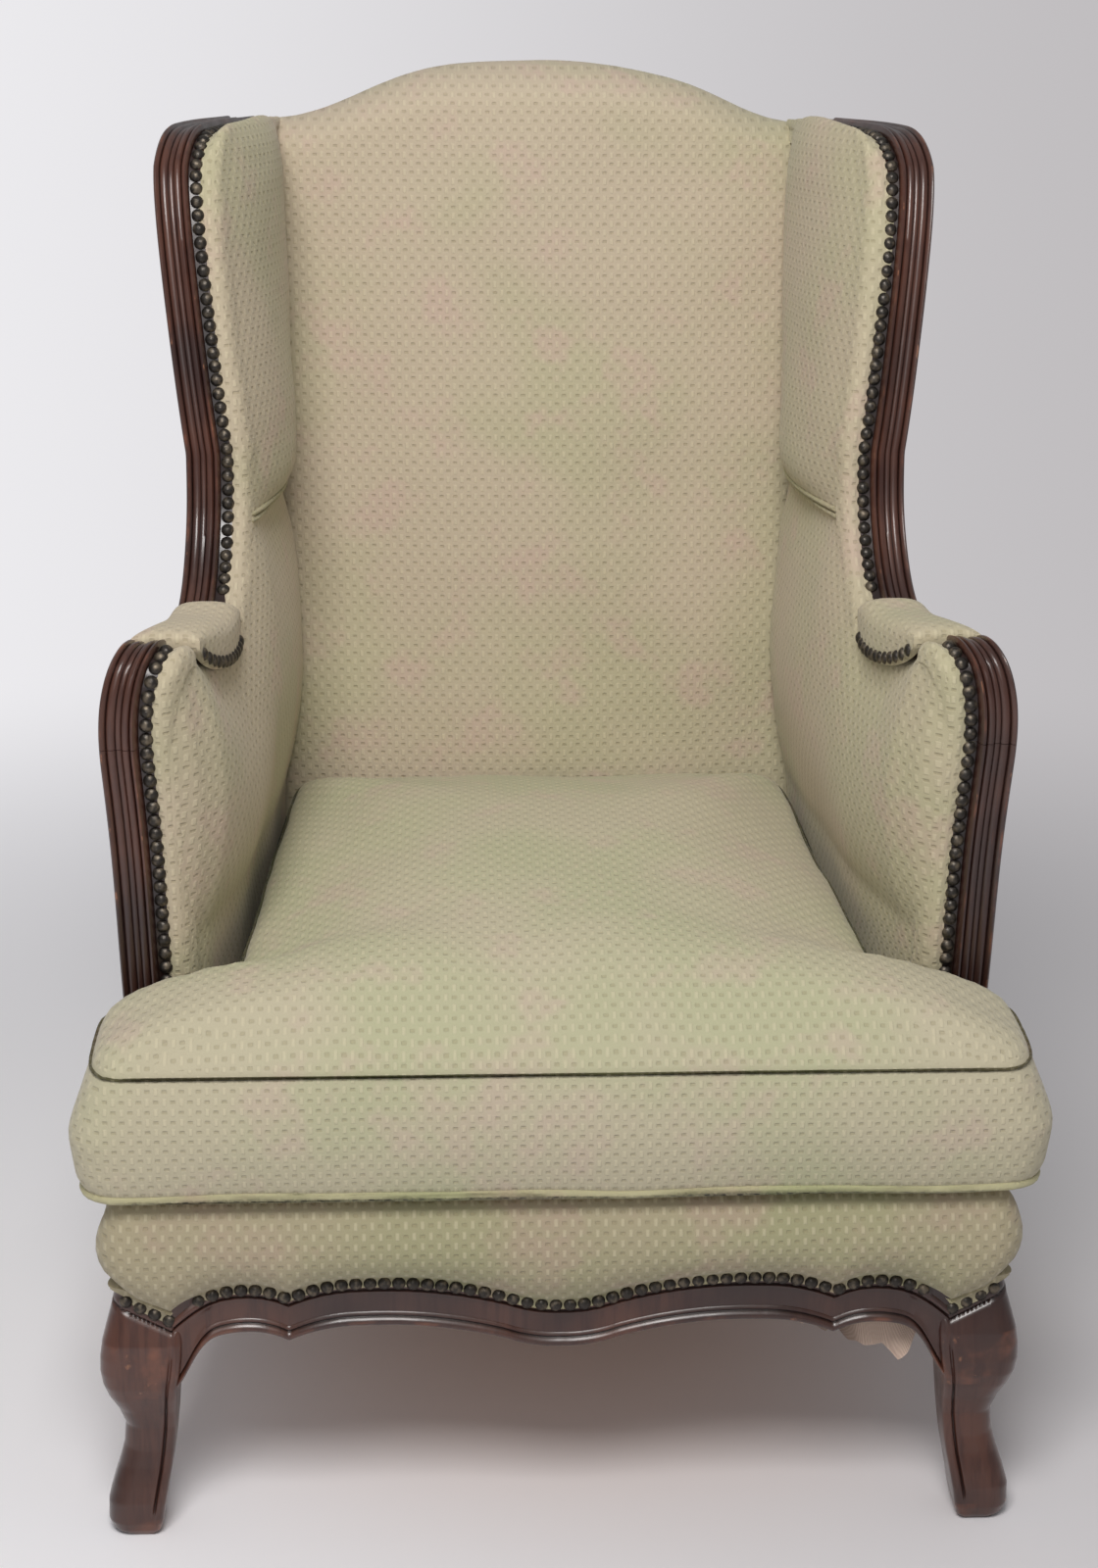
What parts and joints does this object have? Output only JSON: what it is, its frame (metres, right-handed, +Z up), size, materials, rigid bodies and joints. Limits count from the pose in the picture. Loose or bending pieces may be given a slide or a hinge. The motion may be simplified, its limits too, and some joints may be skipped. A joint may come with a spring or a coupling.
{
  "type": "wingback armchair",
  "caption": "High-backed wing armchair with a moulded show-wood frame, cabriole front legs, camel top, arm pads, dome-nail trim and a loose T-shaped seat cushion.",
  "frame": {"origin": "on the floor, below the middle of the outer box", "axes": "+X to the chair's right side as seen from the front, +Y from the front to the back, +Z up"},
  "size_m": [0.744, 0.7716, 1.0963],
  "materials": {
    "jacquard": "sage-beige cloth woven with small staggered dots",
    "show_wood": "dark red-brown mahogany stain, satin wax",
    "frame_wood": "plain unfinished beech",
    "nail_bronze": "dark antique bronze",
    "spring_steel": "bright drawn wire",
    "webbing": "jute webbing",
    "hessian": "open jute cloth",
    "deck_cloth": "plain cotton lining",
    "dust_cloth": "thin faded beige-pink cloth, torn"
  },
  "bodies": {
    "chair": {"arm_pad_left": "jacquard", "arm_pad_nails_left": "nail_bronze", "arm_pad_nails_right": "nail_bronze", "arm_pad_right": "jacquard", "arm_rail_left": "show_wood", "arm_rail_right": "show_wood", "arm_stump_left": "show_wood", "arm_stump_right": "show_wood", "arm_tack_rail_left": "frame_wood", "arm_tack_rail_right": "frame_wood", "back_post_left": "show_wood", "back_post_right": "show_wood", "back_rail": "frame_wood", "back_tack_rail": "frame_wood", "back_webbing": "webbing", "corner_blocks": "frame_wood", "corner_screws": "spring_steel", "crest_rail": "frame_wood", "dust_cover": "dust_cloth", "dust_cover_flap": "dust_cloth", "frame_dowels": "frame_wood", "front_border": "jacquard", "front_leg_left": "show_wood", "front_leg_right": "show_wood", "front_nails": "nail_bronze", "front_rail": "show_wood", "inside_arm_left": "jacquard", "inside_arm_right": "jacquard", "inside_back": "jacquard", "inside_wing_left": "jacquard", "inside_wing_right": "jacquard", "outer_nails_left": "nail_bronze", "outer_nails_right": "nail_bronze", "outside_arm_left": "jacquard", "outside_arm_right": "jacquard", "outside_back": "jacquard", "outside_wing_left": "jacquard", "outside_wing_right": "jacquard", "seat_deck": "deck_cloth", "seat_hessian": "hessian", "seat_springs": "spring_steel", "side_rail_left": "show_wood", "side_rail_nails_left": "nail_bronze", "side_rail_nails_right": "nail_bronze", "side_rail_right": "show_wood", "spring_clips": "spring_steel", "stump_nails_left": "nail_bronze", "stump_nails_right": "nail_bronze", "wing_frame_left": "show_wood", "wing_frame_right": "show_wood", "wing_nails_left": "nail_bronze", "wing_nails_right": "nail_bronze", "wing_rail_left": "frame_wood", "wing_rail_right": "frame_wood"},
    "cushion": {"cushion_welts": "jacquard", "seat_cushion": "jacquard"}
  },
  "joints": [
    {"name": "cushion_lift", "type": "slide", "parent": "chair", "child": "cushion", "axis": [0, -0.9659, 0.259], "range_m": [0, 0.62]}
  ]
}
